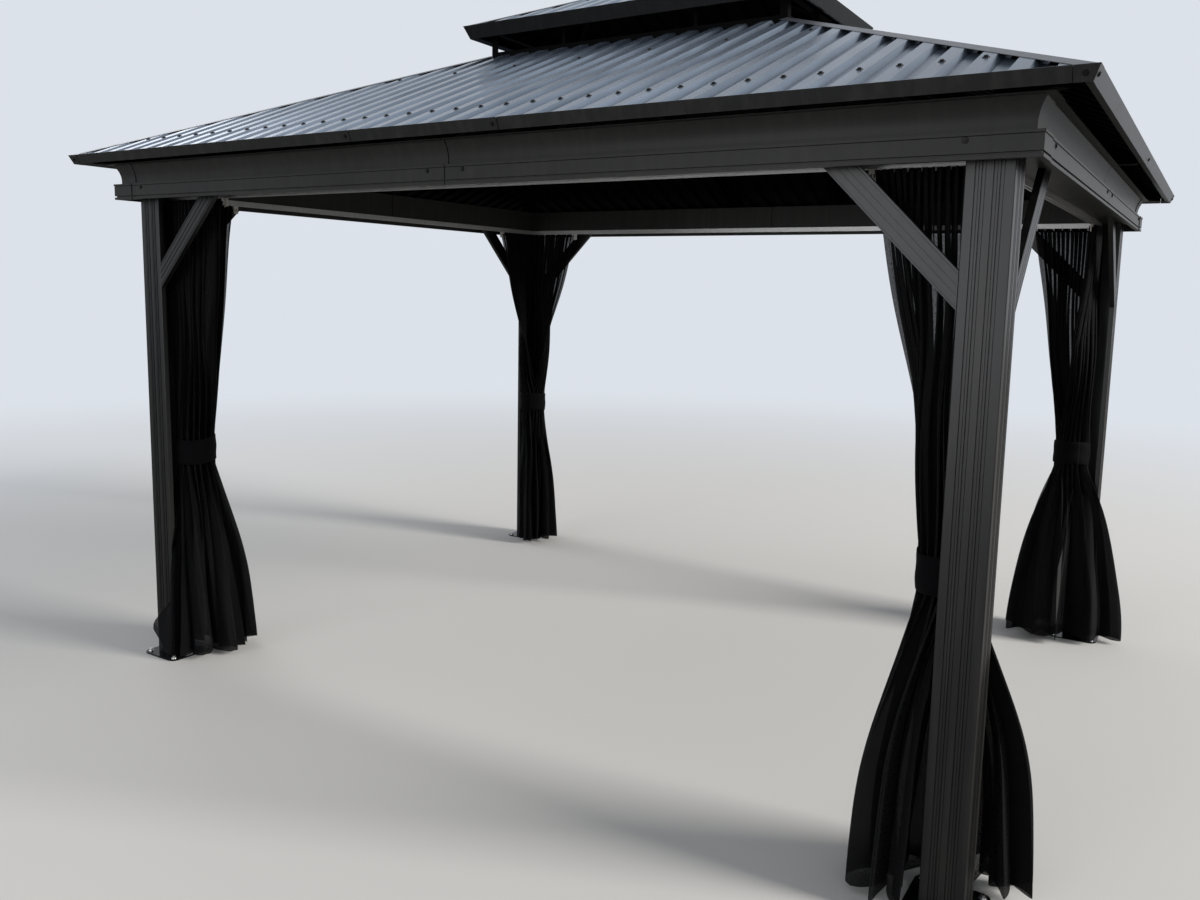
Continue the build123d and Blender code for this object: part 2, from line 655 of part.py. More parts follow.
def spread(share):
    """The outline that lies a share of the way from the curtain's waist to its widest hem."""
    points = []
    for (wx, wy), (hx, hy) in zip(waist_outline(CURTAIN_WAIST_RADIUS), hem_outline()):
        points.append((wx + (hx - wx) * share, wy + (hy - wy) * share))
    return points


def curtain(hem_share):
    """A gathered net curtain at the front right post, as a closed solid of flat facets."""
    waist = waist_outline(CURTAIN_WAIST_RADIUS)
    levels = [
        (CURTAIN_HEM_HEIGHT, spread(hem_share)),
        (CURTAIN_KNEE_HEIGHT, spread(hem_share * CURTAIN_KNEE_SHARE)),
        (CURTAIN_WAIST_BOTTOM, waist),
        (CURTAIN_WAIST_TOP, waist),
        (RAIL_BOTTOM - SEAT, top_outline()),
    ]
    rings = []
    for height, outline in levels:
        rings.append([Vector(x, y, height) for x, y in outline])
    faces = [
        Face(Wire.make_polygon(rings[0], close=True)),
        Face(Wire.make_polygon(rings[-1], close=True)),
    ]
    for low, high in zip(rings, rings[1:]):
        for k in range(8):
            a, b = low[k], low[(k + 1) % 8]
            c, d = high[(k + 1) % 8], high[k]
            faces.append(Face(Wire.make_polygon([a, b, c], close=True)))
            faces.append(Face(Wire.make_polygon([a, c, d], close=True)))
    return to_post_corner(Solid(Shell(faces)))


def tie():
    """The wide band round the curtain's waist."""
    inner = make_face(Polyline(waist_outline(CURTAIN_WAIST_RADIUS + SEAT), close=True))
    outer = make_face(Polyline(waist_outline(CURTAIN_WAIST_RADIUS + SEAT + TIE_THICKNESS), close=True))
    middle = (CURTAIN_WAIST_BOTTOM + CURTAIN_WAIST_TOP) / 2
    band = Pos(0, 0, middle - TIE_HEIGHT / 2) * extrude(outer - inner, TIE_HEIGHT)
    return to_post_corner(band)


def to_post_corner(shape):
    """Places a piece measured from the post's centre along the beams at the front right post."""
    return Pos(HALF_X, -HALF_Y, 0) * mirror(shape, about=Plane.YZ)


os.makedirs("parts", exist_ok=True)

one_post = post()
one_sleeve = beam_corner()
braces = brace_pair()
for corner in CORNERS:
    save("post_" + corner, to_corner(one_post, corner))
    save("beam_corner_" + corner, to_corner(one_sleeve, corner))
    save("braces_" + corner, [to_corner(piece, corner) for piece in braces])
    save("curtain_" + corner, to_corner(curtain(CURTAIN_HEM_SHARES[corner]), corner))
save("foot_plates", [to_corner(foot_plate(), corner) for corner in CORNERS])
save("curtain_ties", [to_corner(tie(), corner) for corner in CORNERS])

for side, (half_length, half_depth, _) in SIDES.items():
    ring_face = RING_HALF_Y if side in ("front", "back") else RING_HALF_X
    panel = sheet(half_length, half_depth, EAVE_OVERHANG, EAVE_HEIGHT, ring_face)
    save("roof_" + side, to_side(panel, side))
    save("beam_" + side, beam(side))
    save("eave_" + side, eave_lengths(side))
save("curtain_rails", [rail(side) for side in SIDES])
save("eave_caps", [to_corner(eave_cap(), corner) for corner in CORNERS])

ring_block = block(-RING_HALF_X, RING_HALF_X, -RING_HALF_Y, RING_HALF_Y, EAVE_HEIGHT, RING_TOP)
one_cap = hip_cap(EAVE_OVERHANG, EAVE_HEIGHT, HALF_X - RING_HALF_X) - ring_block
save("hip_caps", [to_corner(one_cap, corner) for corner in CORNERS])
save("hip_rafters", [to_corner(hip_rafter(), corner) for corner in CORNERS])
commons = []
for side in ("front", "back"):
    for along in (-RAFTER_OFFSET_X, RAFTER_OFFSET_X):
        commons.append(rafter(side, along))
for side in ("left", "right"):
    commons.append(rafter(side, 0))
save("rafters", commons)

save("vent_ring", ring(RING_HALF_X, RING_HALF_Y, RING_WIDTH, RING_TOP - RING_HEIGHT, RING_TOP))
save("vent_struts", struts())
save("upper_frame", upper_frame())
save("upper_rafters", upper_rafters())
save("upper_roof_long", [upper_sheet("front"), upper_sheet("back")])
save("upper_roof_ends", [upper_sheet("left"), upper_sheet("right")])
save("upper_eave", [upper_eave(side) for side in SIDES])
save("upper_caps", upper_caps())
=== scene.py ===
import math

import bmesh
import bpy
import numpy as np
from mathutils import Matrix, Vector


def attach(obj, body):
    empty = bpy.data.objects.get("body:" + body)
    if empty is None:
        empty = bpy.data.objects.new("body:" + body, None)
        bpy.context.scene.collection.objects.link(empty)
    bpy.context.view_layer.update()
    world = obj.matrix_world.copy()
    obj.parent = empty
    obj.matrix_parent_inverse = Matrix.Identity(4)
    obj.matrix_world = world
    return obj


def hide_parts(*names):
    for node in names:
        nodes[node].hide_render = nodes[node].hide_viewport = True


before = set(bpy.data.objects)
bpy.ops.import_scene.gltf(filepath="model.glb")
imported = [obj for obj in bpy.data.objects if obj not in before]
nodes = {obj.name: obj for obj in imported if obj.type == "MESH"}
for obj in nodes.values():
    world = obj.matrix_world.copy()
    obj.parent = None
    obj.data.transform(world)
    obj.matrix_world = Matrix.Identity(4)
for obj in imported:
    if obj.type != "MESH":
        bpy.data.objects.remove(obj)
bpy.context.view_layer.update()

# The camera stands at eye height just outside the front right post and looks back across the
# gazebo. A phone's wide lens, a little off centre in the cropped frame and tipped by a degree.
EYE = (2.2195, -3.9251, 1.6568)
HEADING, TILT, ROLL = 31.27, -7.45, 1.26
lens = bpy.data.cameras.new("camera")
lens.sensor_width = 36.0
lens.lens = 29.63
lens.shift_x = -0.0206
lens.shift_y = -0.0268
lens.clip_start = 0.05
lens.clip_end = 200.0
camera = bpy.data.objects.new("camera", lens)
camera.matrix_world = (
    Matrix.Translation(EYE)
    @ Matrix.Rotation(math.radians(HEADING), 4, "Z")
    @ Matrix.Rotation(math.radians(90.0 + TILT), 4, "X")
    @ Matrix.Rotation(math.radians(ROLL), 4, "Z")
)
bpy.context.scene.collection.objects.link(camera)
bpy.context.scene.camera = camera

# A pale studio: an even room whose backdrop looks brighter than it lights, one large soft lamp
# far out and high on the right, and three weak ones that fill the front, from above and from
# low down as pale paving would, and the left. The floor melts into the backdrop.
BACKDROP = (0.72, 0.76, 0.82, 1.0)
bpy.context.scene.view_settings.view_transform = "Standard"
world = bpy.data.worlds.new("studio")
bpy.context.scene.world = world
world.use_nodes = True
tree = world.node_tree
room = tree.nodes["Background"]
room.inputs["Color"].default_value = (0.90, 0.94, 1.0, 1.0)
room.inputs["Strength"].default_value = 0.42
seen_room = tree.nodes.new("ShaderNodeBackground")
seen_room.inputs["Color"].default_value = BACKDROP
seen_room.inputs["Strength"].default_value = 1.0
path = tree.nodes.new("ShaderNodeLightPath")
direct = tree.nodes.new("ShaderNodeMath")
direct.operation = "MAXIMUM"
tree.links.new(path.outputs["Is Camera Ray"], direct.inputs[0])
tree.links.new(path.outputs["Is Glossy Ray"], direct.inputs[1])
seen = tree.nodes.new("ShaderNodeMath")
seen.operation = "MAXIMUM"
tree.links.new(direct.outputs["Value"], seen.inputs[0])
tree.links.new(path.outputs["Is Transmission Ray"], seen.inputs[1])
pick = tree.nodes.new("ShaderNodeMixShader")
tree.links.new(seen.outputs["Value"], pick.inputs["Fac"])
tree.links.new(room.outputs["Background"], pick.inputs[1])
tree.links.new(seen_room.outputs["Background"], pick.inputs[2])
tree.links.new(pick.outputs["Shader"], tree.nodes["World Output"].inputs["Surface"])

ROOM_MIDDLE = Vector((0.0, 0.0, 1.4))
for name, place, size, power, tint in (
    ("key", (34.0, 6.0, 14.0), 12.0, 18400.0, (1.0, 0.97, 0.93)),
    ("front_fill", (-1.5, -17.0, 4.2), 8.0, 340.0, (0.95, 0.97, 1.0)),
    ("low_fill", (-3.5, -12.5, 0.6), 5.0, 430.0, (0.98, 0.98, 1.0)),
    ("left_fill", (-7.5, 1.0, 6.0), 4.0, 90.0, (0.93, 0.96, 1.0)),
):
    lamp = bpy.data.lights.new(name, "AREA")
    lamp.size = size
    lamp.energy = power
    lamp.color = tint
    lamp_object = bpy.data.objects.new(name, lamp)
    lamp_object.location = place
    aim = ROOM_MIDDLE - Vector(place)
    lamp_object.rotation_euler = aim.to_track_quat("-Z", "Y").to_euler()
    lamp_object.visible_camera = False
    bpy.context.scene.collection.objects.link(lamp_object)

FLOOR_REACH = 40.0
MELT_STARTS, MELT_ENDS = 2.5, 12.0
floor_mesh = bpy.data.meshes.new("floor")
bm = bmesh.new()
bmesh.ops.create_grid(bm, x_segments=1, y_segments=1, size=FLOOR_REACH)
bm.to_mesh(floor_mesh)
bm.free()
floor = bpy.data.objects.new("floor", floor_mesh)
floor_paint = bpy.data.materials.new("floor_pale")
floor_paint.use_nodes = True
tree = floor_paint.node_tree
floor_bounce = tree.nodes["Principled BSDF"]
floor_bounce.inputs["Base Color"].default_value = (0.26, 0.255, 0.245, 1.0)
floor_bounce.inputs["Roughness"].default_value = 1.0
floor_bounce.inputs["Specular IOR Level"].default_value = 0.0
floor_seen = tree.nodes.new("ShaderNodeBsdfPrincipled")
floor_seen.inputs["Base Color"].default_value = (0.66, 0.65, 0.63, 1.0)
floor_seen.inputs["Roughness"].default_value = 0.95
floor_seen.inputs["Specular IOR Level"].default_value = 0.1
distance = tree.nodes.new("ShaderNodeVectorMath")
distance.operation = "LENGTH"
where = tree.nodes.new("ShaderNodeTexCoord")
tree.links.new(where.outputs["Object"], distance.inputs[0])
far = tree.nodes.new("ShaderNodeMapRange")
far.interpolation_type = "SMOOTHSTEP"
far.inputs["From Min"].default_value = MELT_STARTS
far.inputs["From Max"].default_value = MELT_ENDS
tree.links.new(distance.outputs["Value"], far.inputs["Value"])
path = tree.nodes.new("ShaderNodeLightPath")
backdrop = tree.nodes.new("ShaderNodeEmission")
backdrop.inputs["Color"].default_value = BACKDROP
melt = tree.nodes.new("ShaderNodeMixShader")
tree.links.new(far.outputs["Result"], melt.inputs["Fac"])
tree.links.new(floor_seen.outputs["BSDF"], melt.inputs[1])
tree.links.new(backdrop.outputs["Emission"], melt.inputs[2])
by_ray = tree.nodes.new("ShaderNodeMixShader")
tree.links.new(path.outputs["Is Camera Ray"], by_ray.inputs["Fac"])
tree.links.new(floor_bounce.outputs["BSDF"], by_ray.inputs[1])
tree.links.new(melt.outputs["Shader"], by_ray.inputs[2])
tree.links.new(by_ray.outputs["Shader"], tree.nodes["Material Output"].inputs["Surface"])
floor_mesh.materials.append(floor_paint)
bpy.context.scene.collection.objects.link(floor)

# Foot plates: square pieces of gloss black steel on the paving, each held down by four zinc
# plated anchor bolts with a washer. Black paint of one kind or another covers the whole frame,
# so its faint drifts of tone, rain streaks of dust and orange peel are made here.
def marks_group(name, inputs, outputs):
    """A node group with these sockets, for marks that more than one material shows."""
    group = bpy.data.node_groups.new(name, "ShaderNodeTree")
    for direction, sockets in (("INPUT", inputs), ("OUTPUT", outputs)):
        for socket, kind in sockets:
            group.interface.new_socket(socket, in_out=direction, socket_type="NodeSocket" + kind)
    return group


paint_marks = marks_group(
    "paint_marks",
    (("Color", "Color"), ("Roughness", "Float"), ("Dust", "Float")),
    (("Color", "Color"), ("Roughness", "Float"), ("Height", "Float")),
)
n = paint_marks.nodes
link = paint_marks.links.new
given = n.new("NodeGroupInput")
result = n.new("NodeGroupOutput")
where = n.new("ShaderNodeTexCoord")
drift = n.new("ShaderNodeTexNoise")
drift.inputs["Scale"].default_value = 2.3
drift.inputs["Detail"].default_value = 4.0
link(where.outputs["Object"], drift.inputs["Vector"])
tone = n.new("ShaderNodeMapRange")
tone.inputs["To Min"].default_value = 0.80
tone.inputs["To Max"].default_value = 1.20
link(drift.outputs["Fac"], tone.inputs["Value"])
shade = n.new("ShaderNodeVectorMath")
shade.operation = "SCALE"
link(given.outputs["Color"], shade.inputs["Vector"])
link(tone.outputs["Result"], shade.inputs["Scale"])
stretch = n.new("ShaderNodeMapping")
stretch.inputs["Scale"].default_value = (38.0, 38.0, 2.2)
link(where.outputs["Object"], stretch.inputs["Vector"])
streak = n.new("ShaderNodeTexNoise")
streak.inputs["Scale"].default_value = 1.0
streak.inputs["Detail"].default_value = 5.0
link(stretch.outputs["Vector"], streak.inputs["Vector"])
veil = n.new("ShaderNodeMapRange")
veil.inputs["From Min"].default_value = 0.45
veil.inputs["From Max"].default_value = 0.75
link(streak.outputs["Fac"], veil.inputs["Value"])
amount = n.new("ShaderNodeMath")
amount.operation = "MULTIPLY"
link(veil.outputs["Result"], amount.inputs[0])
link(given.outputs["Dust"], amount.inputs[1])
dusty = n.new("ShaderNodeMix")
dusty.data_type = "RGBA"
dusty.inputs["B"].default_value = (0.30, 0.28, 0.24, 1.0)
link(amount.outputs["Value"], dusty.inputs["Factor"])
link(shade.outputs["Vector"], dusty.inputs["A"])
link(dusty.outputs["Result"], result.inputs["Color"])
rough = n.new("ShaderNodeMath")
rough.operation = "ADD"
link(given.outputs["Roughness"], rough.inputs[0])
link(amount.outputs["Value"], rough.inputs[1])
link(rough.outputs["Value"], result.inputs["Roughness"])
peel = n.new("ShaderNodeTexNoise")
peel.inputs["Scale"].default_value = 420.0
peel.inputs["Detail"].default_value = 2.0
link(where.outputs["Object"], peel.inputs["Vector"])
link(peel.outputs["Fac"], result.inputs["Height"])


def black_paint(name, colour, roughness, dust, shine):
    """Powder coat or gloss paint in one shade of black. Dust makes it rougher in streaks."""
    material = bpy.data.materials.new(name)
    material.use_nodes = True
    tree = material.node_tree
    shader = tree.nodes["Principled BSDF"]
    shader.inputs["Specular IOR Level"].default_value = shine
    marks = tree.nodes.new("ShaderNodeGroup")
    marks.node_tree = paint_marks
    marks.inputs["Color"].default_value = (*colour, 1.0)
    marks.inputs["Roughness"].default_value = roughness
    marks.inputs["Dust"].default_value = dust
    bump = tree.nodes.new("ShaderNodeBump")
    bump.inputs["Strength"].default_value = 0.12
    bump.inputs["Distance"].default_value = 0.0006
    tree.links.new(marks.outputs["Color"], shader.inputs["Base Color"])
    if dust:
        tree.links.new(marks.outputs["Roughness"], shader.inputs["Roughness"])
    else:
        shader.inputs["Roughness"].default_value = roughness
    tree.links.new(marks.outputs["Height"], bump.inputs["Height"])
    tree.links.new(bump.outputs["Normal"], shader.inputs["Normal"])
    return material


def dress(material, *names):
    """Gives CAD nodes their finish. Their shapes stay as they are."""
    for name in names:
        nodes[name].data.materials.clear()
        nodes[name].data.materials.append(material)


def fixed_piece(name, bm, material, smooth=False):
    """Makes a piece of a finished bmesh, fixed to the gazebo."""
    mesh = bpy.data.meshes.new(name)
    bm.to_mesh(mesh)
    bm.free()
    if smooth:
        mesh.polygons.foreach_set("use_smooth", [True] * len(mesh.polygons))
    mesh.materials.append(material)
    piece = bpy.data.objects.new(name, mesh)
    bpy.context.scene.collection.objects.link(piece)
    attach(piece, "root")
    return piece


def add_screw(bm, place, normal, washer, head, height):
    """A hexagon head on its washer, given by their radii, on a face with this normal."""
    turn = Vector(normal).to_track_quat("Z", "Y").to_matrix().to_4x4()
    stand = Matrix.Translation(place) @ turn
    thin = 0.35 * height
    thick = height - thin
    bmesh.ops.create_cone(bm, cap_ends=True, segments=16, radius1=washer, radius2=washer * 0.9,
                          depth=thin, matrix=stand @ Matrix.Translation((0, 0, thin / 2)))
    bmesh.ops.create_cone(bm, cap_ends=True, segments=6, radius1=head, radius2=head * 0.94,
                          depth=thick, matrix=stand @ Matrix.Translation((0, 0, thin + thick / 2)))


# Each post's side of the middle, then the post grid's half length and half width.
CORNERS = {
    "front_right": (1, -1),
    "front_left": (-1, -1),
    "back_right": (1, 1),
    "back_left": (-1, 1),
}
POST_X = 1.690
POST_Y = 1.305
dress(black_paint("foot_plate_gloss", (0.005, 0.0055, 0.006), 0.14, 0.02, 0.1), "foot_plates")


def mottled(name, scale, dark, light):
    """A material whose colour drifts between two tones."""
    material = bpy.data.materials.new(name)
    material.use_nodes = True
    tree = material.node_tree
    where = tree.nodes.new("ShaderNodeTexCoord")
    drift = tree.nodes.new("ShaderNodeTexNoise")
    drift.name = "drift"
    drift.inputs["Scale"].default_value = scale
    tones = tree.nodes.new("ShaderNodeValToRGB")
    tones.color_ramp.elements[0].color = (*dark, 1.0)
    tones.color_ramp.elements[1].color = (*light, 1.0)
    tree.links.new(where.outputs["Object"], drift.inputs["Vector"])
    tree.links.new(drift.outputs["Fac"], tones.inputs["Fac"])
    tree.links.new(tones.outputs["Color"], tree.nodes["Principled BSDF"].inputs["Base Color"])
    return material


def bare_metal(name, metallic, scale, dark, light, polished, dull):
    """Unpainted metal, mottled in tone and in roughness."""
    material = mottled(name, scale, dark, light)
    tree = material.node_tree
    shader = tree.nodes["Principled BSDF"]
    shader.inputs["Metallic"].default_value = metallic
    rough = tree.nodes.new("ShaderNodeMapRange")
    rough.inputs["To Min"].default_value = polished
    rough.inputs["To Max"].default_value = dull
    tree.links.new(tree.nodes["drift"].outputs["Fac"], rough.inputs["Value"])
    tree.links.new(rough.outputs["Result"], shader.inputs["Roughness"])
    return material


zinc = bare_metal("zinc_plated", 1.0, 260.0, (0.30, 0.30, 0.29), (0.58, 0.58, 0.56), 0.28, 0.5)
# A screw's washer and head radii, and its height.
ANCHOR_BOLT = (0.0115, 0.0075, 0.011)
ANCHOR_OFFSET = 0.082
PLATE_TOP = 0.006
bm = bmesh.new()
for sx, sy in CORNERS.values():
    for dx in (-ANCHOR_OFFSET, ANCHOR_OFFSET):
        for dy in (-ANCHOR_OFFSET, ANCHOR_OFFSET):
            place = (sx * POST_X + dx, sy * POST_Y + dy, PLATE_TOP)
            add_screw(bm, place, (0, 0, 1), *ANCHOR_BOLT)
fixed_piece("anchor_bolts", bm, zinc)

# Posts and knee braces: aluminium extrusions in a satin charcoal powder coat, fluted outside,
# the braces screwed between post and beam.
charcoal = black_paint("charcoal_coat", (0.0085, 0.0085, 0.0085), 0.36, 0.04, 0.36)
for corner in CORNERS:
    dress(charcoal, "post_" + corner, "braces_" + corner)

# Beams: cornice mouldings in a greyer coat, two lengths a side that meet in the middle, with a
# sleeve over each corner. Dark screws hold them to the sleeves and on each side of the joint,
# where a dark connector inside the two lengths shows.
SIDES = ("front", "right", "back", "left")
beam_coat = black_paint("beam_coat", (0.0330, 0.0328, 0.0318), 0.40, 0.03, 0.10)
for corner in CORNERS:
    dress(beam_coat, "beam_corner_" + corner)
for side in SIDES:
    dress(beam_coat, "beam_" + side)
screw_black = black_paint("screw_black", (0.003, 0.003, 0.0035), 0.5, 0.0, 0.2)
BEAM_SCREW = (0.0085, 0.005, 0.004)
CORNICE_FACE = 0.127
BAND_MIDDLE = 2.0265
SLEEVE_SCREW = 0.049
JOINT_SCREW = 0.075
bm = bmesh.new()
for sign in (-1, 1):
    for x in (SLEEVE_SCREW - POST_X, -JOINT_SCREW, JOINT_SCREW, POST_X - SLEEVE_SCREW):
        place = (x, sign * (POST_Y + CORNICE_FACE), BAND_MIDDLE)
        add_screw(bm, place, (0, sign, 0), *BEAM_SCREW)
    for y in (SLEEVE_SCREW - POST_Y, -JOINT_SCREW, JOINT_SCREW, POST_Y - SLEEVE_SCREW):
        place = (sign * (POST_X + CORNICE_FACE), y, BAND_MIDDLE)
        add_screw(bm, place, (sign, 0, 0), *BEAM_SCREW)
fixed_piece("beam_screws", bm, screw_black)

# The gazebo's four sides: a side's turn from the front, how far out its posts stand, and how
# far along it.
QUARTERS = (
    (0, POST_Y, POST_X), (90, POST_X, POST_Y), (180, POST_Y, POST_X), (270, POST_X, POST_Y),
)
# The connector in the beam's body and the one in its band: how far out of the posts' line and
# how high its middle lies, its depth and its height.
CONNECTORS = ((0.027, 2.067, 0.146, 0.110), (0.1165, 2.009, 0.009, 0.050))
CONNECTOR_WIDTH = 0.0036
bm = bmesh.new()
for turn, post_line, _ in QUARTERS:
    spin = Matrix.Rotation(math.radians(turn), 4, "Z")
    for outward, z, depth, height in CONNECTORS:
        bmesh.ops.create_cube(bm, size=1.0, matrix=spin
                              @ Matrix.Translation((0.0, -post_line - outward, z))
                              @ Matrix.Diagonal((CONNECTOR_WIDTH, depth, height, 1.0)))
fixed_piece("beam_joiners", bm, screw_black)

# Curtain rails: bare aluminium track under the beams. White nylon gliders run in it, close
# together over each gathered curtain, with a two-holed end stop beyond the last of them.
rail_metal = bare_metal("rail_aluminium", 0.9, 60.0, (0.40, 0.40, 0.40), (0.60, 0.60, 0.59),
                        0.3, 0.5)
dress(rail_metal, "curtain_rails")
nylon = mottled("glider_nylon", 90.0, (0.60, 0.57, 0.50), (0.80, 0.79, 0.75))
nylon.node_tree.nodes["Principled BSDF"].inputs["Roughness"].default_value = 0.35


def beside_post(corner, along, aside, z, swap=False):
    """A place in from a post's centre along its front or back beam, or its side beam if swap."""
    if swap:
        along, aside = aside, along
    sx, sy = CORNERS[corner]
    return (sx * (POST_X - along), sy * (POST_Y - aside), z)


RAIL_INSET = 0.033
# A glider's size along the rail, across it and up, and where a half curtain's gliders stand:
# the first from the post's centre, the last from the end of the cloth.
GLIDER = (0.004, 0.009, 0.013)
GLIDERS_PER_HALF = 8
FIRST_GLIDER = 0.045
LAST_GLIDER_BACK = 0.010
GLIDER_HEIGHT = 1.9835
# How far each half curtain reaches along its rail from the post: along the front or back
# beam first, then along the side beam.
TOP_REACH = {
    "front_right": (0.311, 0.335),
    "front_left": (0.362, 0.330),
    "back_right": (0.318, 0.335),
    "back_left": (0.350, 0.345),
}
bm = bmesh.new()
for corner in CORNERS:
    for swap, reach in zip((False, True), TOP_REACH[corner]):
        run = reach - LAST_GLIDER_BACK - FIRST_GLIDER
        for k in range(GLIDERS_PER_HALF):
            along = FIRST_GLIDER + run * k / (GLIDERS_PER_HALF - 1)
            centre = beside_post(corner, along, RAIL_INSET, GLIDER_HEIGHT, swap)
            thin, wide, tall = GLIDER
            size = (wide, thin, tall, 1.0) if swap else (thin, wide, tall, 1.0)
            cube = bmesh.ops.create_cube(bm, size=1.0, matrix=Matrix.Translation(centre)
                                         @ Matrix.Diagonal(size))
            edges = {edge for vert in cube["verts"] for edge in vert.link_edges}
            bmesh.ops.bevel(bm, geom=list(edges), offset=0.001, segments=1, profile=0.5,
                            affect="EDGES", material=-1)
fixed_piece("gliders", bm, nylon)

# An end stop is a plate of five by three squares, without the second and the fourth of the
# middle row. Its thickness is a share of its width.
STOP_BEYOND = 0.011
STOP_HEIGHT = 1.971
STOP_WIDTH = 0.022
STOP_DROP = 0.034
STOP_THICKNESS = 0.14
QUARTER_TURN = math.radians(90)
bm = bmesh.new()
for corner in CORNERS:
    for swap, reach in zip((False, True), TOP_REACH[corner]):
        plate = bmesh.new()
        bmesh.ops.create_grid(plate, x_segments=5, y_segments=3, size=0.5)
        middle = [face for face in plate.faces
                  if 0.15 < abs(face.calc_center_median().x) < 0.35
                  and abs(face.calc_center_median().y) < 0.1]
        bmesh.ops.delete(plate, geom=middle, context="FACES")
        bmesh.ops.solidify(plate, geom=plate.faces[:], thickness=STOP_THICKNESS)
        bmesh.ops.scale(plate, vec=(STOP_WIDTH, STOP_DROP, STOP_WIDTH), verts=plate.verts[:])
        bmesh.ops.rotate(plate, cent=(0, 0, 0), verts=plate.verts[:],
                         matrix=Matrix.Rotation(QUARTER_TURN, 3, "X"))
        if swap:
            bmesh.ops.rotate(plate, cent=(0, 0, 0), verts=plate.verts[:],
                             matrix=Matrix.Rotation(QUARTER_TURN, 3, "Z"))
        place = beside_post(corner, reach + STOP_BEYOND, RAIL_INSET, STOP_HEIGHT, swap)
        bmesh.ops.translate(plate, vec=place, verts=plate.verts[:])
        stop_mesh = bpy.data.meshes.new("stop")
        plate.to_mesh(stop_mesh)
        plate.free()
        bm.from_mesh(stop_mesh)
        bpy.data.meshes.remove(stop_mesh)
bmesh.ops.recalc_face_normals(bm, faces=bm.faces[:])
fixed_piece("end_stops", bm, nylon)

# Roof frame: rafters, the ring round the vent, its struts and the upper frame, in the frame's
# black painted darker still: painted shade, as it is always in the shade.
roof_frame = black_paint("roof_frame_painted_shade", (0.0020, 0.0020, 0.0022), 0.6, 0.0, 0.03)
dress(roof_frame, "hip_rafters", "rafters", "vent_ring", "vent_struts", "upper_frame",
      "upper_rafters")

# Roof sheets: ribbed steel with a satin blue-grey finish above, streaked by rain down the
# slope, and a dull backing below that is painted near black: painted shade for the dark inside of
# the roof.
sheet_marks_and_painted_shade = marks_group(
    "sheet_marks_and_painted_shade",
    (("Across", "Vector"),),
    (("Color", "Color"), ("Roughness", "Float"), ("Metal", "Float"), ("Height", "Float")),
)
n = sheet_marks_and_painted_shade.nodes
link = sheet_marks_and_painted_shade.links.new
given = n.new("NodeGroupInput")
result = n.new("NodeGroupOutput")
where = n.new("ShaderNodeTexCoord")
scaled = n.new("ShaderNodeVectorMath")
scaled.operation = "MULTIPLY"
link(where.outputs["Object"], scaled.inputs[0])
link(given.outputs["Across"], scaled.inputs[1])
streak = n.new("ShaderNodeTexNoise")
streak.inputs["Scale"].default_value = 1.0
streak.inputs["Detail"].default_value = 6.0
streak.inputs["Roughness"].default_value = 0.6
link(scaled.outputs["Vector"], streak.inputs["Vector"])
cloud = n.new("ShaderNodeTexNoise")
cloud.inputs["Scale"].default_value = 1.7
cloud.inputs["Detail"].default_value = 3.0
link(where.outputs["Object"], cloud.inputs["Vector"])
blend = n.new("ShaderNodeMath")
blend.operation = "MULTIPLY"
link(streak.outputs["Fac"], blend.inputs[0])
link(cloud.outputs["Fac"], blend.inputs[1])
tint = n.new("ShaderNodeValToRGB")
tint.color_ramp.elements[0].position = 0.12
tint.color_ramp.elements[0].color = (0.105, 0.130, 0.168, 1.0)
tint.color_ramp.elements[1].position = 0.42
tint.color_ramp.elements[1].color = (0.215, 0.260, 0.325, 1.0)
link(blend.outputs["Value"], tint.inputs["Fac"])
# Faces that point down get a near-black colour: painted shade for the deep shade under the roof.
facing = n.new("ShaderNodeNewGeometry")
parts = n.new("ShaderNodeSeparateXYZ")
link(facing.outputs["Normal"], parts.inputs["Vector"])
above = n.new("ShaderNodeMath")
above.operation = "GREATER_THAN"
above.inputs[1].default_value = 0.0
link(parts.outputs["Z"], above.inputs[0])
painted_shade_below = n.new("ShaderNodeMix")
painted_shade_below.data_type = "RGBA"
painted_shade_below.inputs["A"].default_value = (0.0020, 0.0020, 0.0022, 1.0)
link(above.outputs["Value"], painted_shade_below.inputs["Factor"])
link(tint.outputs["Color"], painted_shade_below.inputs["B"])
link(painted_shade_below.outputs["Result"], result.inputs["Color"])
gloss = n.new("ShaderNodeMapRange")
gloss.inputs["To Min"].default_value = 0.14
gloss.inputs["To Max"].default_value = 0.32
link(streak.outputs["Fac"], gloss.inputs["Value"])
dull = n.new("ShaderNodeMix")
dull.data_type = "FLOAT"
dull.inputs["A"].default_value = 0.7
link(above.outputs["Value"], dull.inputs["Factor"])
link(gloss.outputs["Result"], dull.inputs["B"])
link(dull.outputs["Result"], result.inputs["Roughness"])
metal = n.new("ShaderNodeMath")
metal.operation = "MULTIPLY"
metal.inputs[1].default_value = 0.50
link(above.outputs["Value"], metal.inputs[0])
link(metal.outputs["Value"], result.inputs["Metal"])
dimple = n.new("ShaderNodeTexNoise")
dimple.inputs["Scale"].default_value = 260.0
link(where.outputs["Object"], dimple.inputs["Vector"])
link(dimple.outputs["Fac"], result.inputs["Height"])
